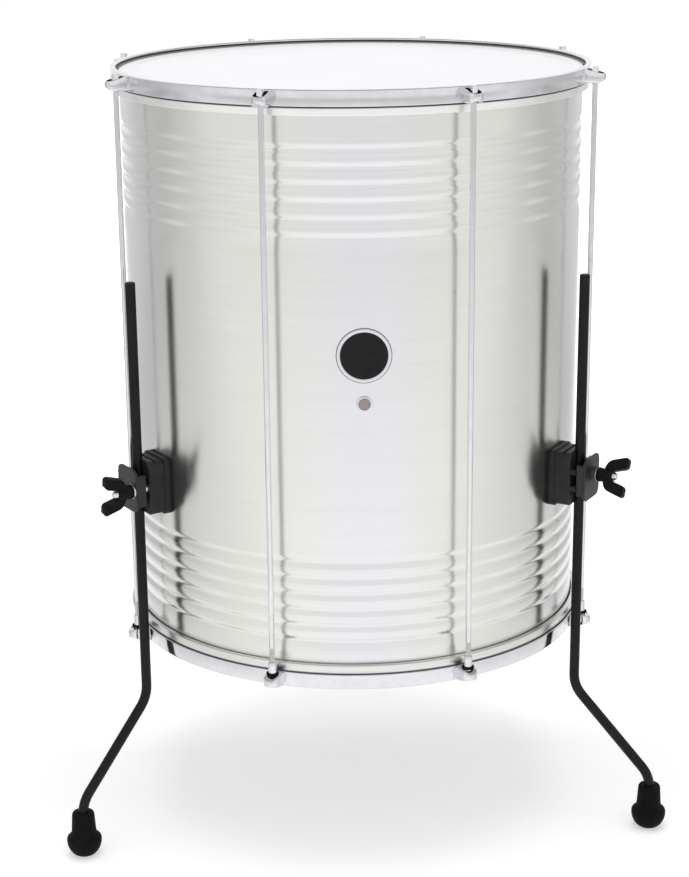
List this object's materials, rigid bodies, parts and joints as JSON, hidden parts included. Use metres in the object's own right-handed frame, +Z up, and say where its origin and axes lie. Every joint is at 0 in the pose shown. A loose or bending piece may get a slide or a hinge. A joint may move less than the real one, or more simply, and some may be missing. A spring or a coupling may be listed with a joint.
{
  "type": "surdo drum",
  "caption": "Deep double-headed surdo with a ribbed aluminium shell, chromed hoops with canoe ears, long tension rods and bent floor legs held by lever clamps.",
  "frame": {"origin": "centre of the bounding box on the floor under the feet", "axes": "+Z up along the drum's axis; -Y towards the front, where the badge and the vent are; +X to the right seen from the front"},
  "size_m": [0.6122, 0.5902, 0.7697],
  "materials": {
    "shell_metal": "satin, brushed round the drum",
    "chrome": "bright plated",
    "head_film": "smooth white film",
    "flesh_band": "satin",
    "badge_metal": "satin, plain",
    "rubber": "matt black",
    "black_metal": "satin black powder coat",
    "zinc_steel": "zinc plated"
  },
  "bodies": {
    "drum": {"shell": "shell_metal", "vent_eyelet": "chrome", "badge": "badge_metal", "top_head_film": "head_film", "bottom_head_film": "head_film", "top_flesh_hoop": "flesh_band", "bottom_flesh_hoop": "flesh_band", "bottom_hoop": "chrome", "tube_nut_1": "chrome", "nut_ring_1": "rubber", "tube_nut_2": "chrome", "nut_ring_2": "rubber", "tube_nut_3": "chrome", "nut_ring_3": "rubber", "tube_nut_4": "chrome", "nut_ring_4": "rubber", "tube_nut_5": "chrome", "nut_ring_5": "rubber", "tube_nut_6": "chrome", "nut_ring_6": "rubber", "tube_nut_7": "chrome", "nut_ring_7": "rubber", "tube_nut_8": "chrome", "nut_ring_8": "rubber", "leg_gasket_1": "rubber", "leg_bracket_1": "black_metal", "leg_backing_plate_1": "zinc_steel", "clamp_bolt_1": "chrome", "leg_gasket_2": "rubber", "leg_bracket_2": "black_metal", "leg_backing_plate_2": "zinc_steel", "clamp_bolt_2": "chrome", "leg_gasket_3": "rubber", "leg_bracket_3": "black_metal", "leg_backing_plate_3": "zinc_steel", "clamp_bolt_3": "chrome"},
    "top_hoop": {"top_hoop": "chrome"},
    "tension_rod_1": {"tension_rod_1": "chrome"},
    "tension_rod_2": {"tension_rod_2": "chrome"},
    "tension_rod_3": {"tension_rod_3": "chrome"},
    "tension_rod_4": {"tension_rod_4": "chrome"},
    "tension_rod_5": {"tension_rod_5": "chrome"},
    "tension_rod_6": {"tension_rod_6": "chrome"},
    "tension_rod_7": {"tension_rod_7": "chrome"},
    "tension_rod_8": {"tension_rod_8": "chrome"},
    "clamp_plate_1": {"clamp_plate_1": "black_metal", "clamp_washer_1": "chrome"},
    "wing_nut_1": {"wing_nut_1": "black_metal"},
    "leg_1": {"leg_1": "black_metal", "leg_foot_1": "rubber"},
    "clamp_plate_2": {"clamp_plate_2": "black_metal", "clamp_washer_2": "chrome"},
    "wing_nut_2": {"wing_nut_2": "black_metal"},
    "leg_2": {"leg_2": "black_metal", "leg_foot_2": "rubber"},
    "clamp_plate_3": {"clamp_plate_3": "black_metal", "clamp_washer_3": "chrome"},
    "wing_nut_3": {"wing_nut_3": "black_metal"},
    "leg_3": {"leg_3": "black_metal", "leg_foot_3": "rubber"}
  },
  "joints": [
    {"name": "hoop_lift", "type": "slide", "parent": "drum", "child": "top_hoop", "axis": [0, 0, 1], "range_m": [0, 0.006]},
    {"name": "rod_1_turn", "type": "hinge", "parent": "top_hoop", "child": "tension_rod_1", "pos_m": [0.09259, -0.28116, 0.77], "axis": [0, 0, 1], "range_deg": [0, 2165]},
    {"name": "rod_2_turn", "type": "hinge", "parent": "top_hoop", "child": "tension_rod_2", "pos_m": [0.22309, -0.14555, 0.77], "axis": [0, 0, 1], "range_deg": [0, 2165]},
    {"name": "rod_3_turn", "type": "hinge", "parent": "top_hoop", "child": "tension_rod_3", "pos_m": [0.21947, 0.04262, 0.77], "axis": [0, 0, 1], "range_deg": [0, 2165]},
    {"name": "rod_4_turn", "type": "hinge", "parent": "top_hoop", "child": "tension_rod_4", "pos_m": [0.08386, 0.17312, 0.77], "axis": [0, 0, 1], "range_deg": [0, 2165]},
    {"name": "rod_5_turn", "type": "hinge", "parent": "top_hoop", "child": "tension_rod_5", "pos_m": [-0.10431, 0.16951, 0.77], "axis": [0, 0, 1], "range_deg": [0, 2165]},
    {"name": "rod_6_turn", "type": "hinge", "parent": "top_hoop", "child": "tension_rod_6", "pos_m": [-0.23481, 0.0339, 0.77], "axis": [0, 0, 1], "range_deg": [0, 2165]},
    {"name": "rod_7_turn", "type": "hinge", "parent": "top_hoop", "child": "tension_rod_7", "pos_m": [-0.23119, -0.15427, 0.77], "axis": [0, 0, 1], "range_deg": [0, 2165]},
    {"name": "rod_8_turn", "type": "hinge", "parent": "top_hoop", "child": "tension_rod_8", "pos_m": [-0.09558, -0.28477, 0.77], "axis": [0, 0, 1], "range_deg": [0, 2165]},
    {"name": "clamp_1_open", "type": "slide", "parent": "drum", "child": "clamp_plate_1", "axis": [-0.8572, -0.515, 0], "range_m": [0, 0.004]},
    {"name": "wing_nut_1_turn", "type": "hinge", "parent": "clamp_plate_1", "child": "wing_nut_1", "pos_m": [-0.22807, -0.20451, 0.3745], "axis": [-0.8572, -0.515, 0], "range_deg": [0, 1155]},
    {"name": "leg_1_slide", "type": "slide", "parent": "drum", "child": "leg_1", "axis": [0, 0, 1], "range_m": [-0.16, 0.17]},
    {"name": "clamp_2_open", "type": "slide", "parent": "drum", "child": "clamp_plate_2", "axis": [0.8572, -0.515, 0], "range_m": [0, 0.004]},
    {"name": "wing_nut_2_turn", "type": "hinge", "parent": "clamp_plate_2", "child": "wing_nut_2", "pos_m": [0.22974, -0.18222, 0.3745], "axis": [0.8572, -0.515, 0], "range_deg": [0, 1155]},
    {"name": "leg_2_slide", "type": "slide", "parent": "drum", "child": "leg_2", "axis": [0, 0, 1], "range_m": [-0.16, 0.17]},
    {"name": "clamp_3_open", "type": "slide", "parent": "drum", "child": "clamp_plate_3", "axis": [0, 1, 0], "range_m": [0, 0.004]},
    {"name": "wing_nut_3_turn", "type": "hinge", "parent": "clamp_plate_3", "child": "wing_nut_3", "pos_m": [-0.01886, 0.21122, 0.3745], "axis": [0, 1, 0], "range_deg": [0, 1155]},
    {"name": "leg_3_slide", "type": "slide", "parent": "drum", "child": "leg_3", "axis": [0, 0, 1], "range_m": [-0.16, 0.17]}
  ],
  "couplings": [
    {"joint": "rod_1_turn", "follows": "hoop_lift", "rad_per_m": 6283.2},
    {"joint": "rod_2_turn", "follows": "hoop_lift", "rad_per_m": 6283.2},
    {"joint": "rod_3_turn", "follows": "hoop_lift", "rad_per_m": 6283.2},
    {"joint": "rod_4_turn", "follows": "hoop_lift", "rad_per_m": 6283.2},
    {"joint": "rod_5_turn", "follows": "hoop_lift", "rad_per_m": 6283.2},
    {"joint": "rod_6_turn", "follows": "hoop_lift", "rad_per_m": 6283.2},
    {"joint": "rod_7_turn", "follows": "hoop_lift", "rad_per_m": 6283.2},
    {"joint": "rod_8_turn", "follows": "hoop_lift", "rad_per_m": 6283.2},
    {"joint": "wing_nut_1_turn", "follows": "clamp_1_open", "rad_per_m": 5026.5},
    {"joint": "wing_nut_2_turn", "follows": "clamp_2_open", "rad_per_m": 5026.5},
    {"joint": "wing_nut_3_turn", "follows": "clamp_3_open", "rad_per_m": 5026.5}
  ]
}
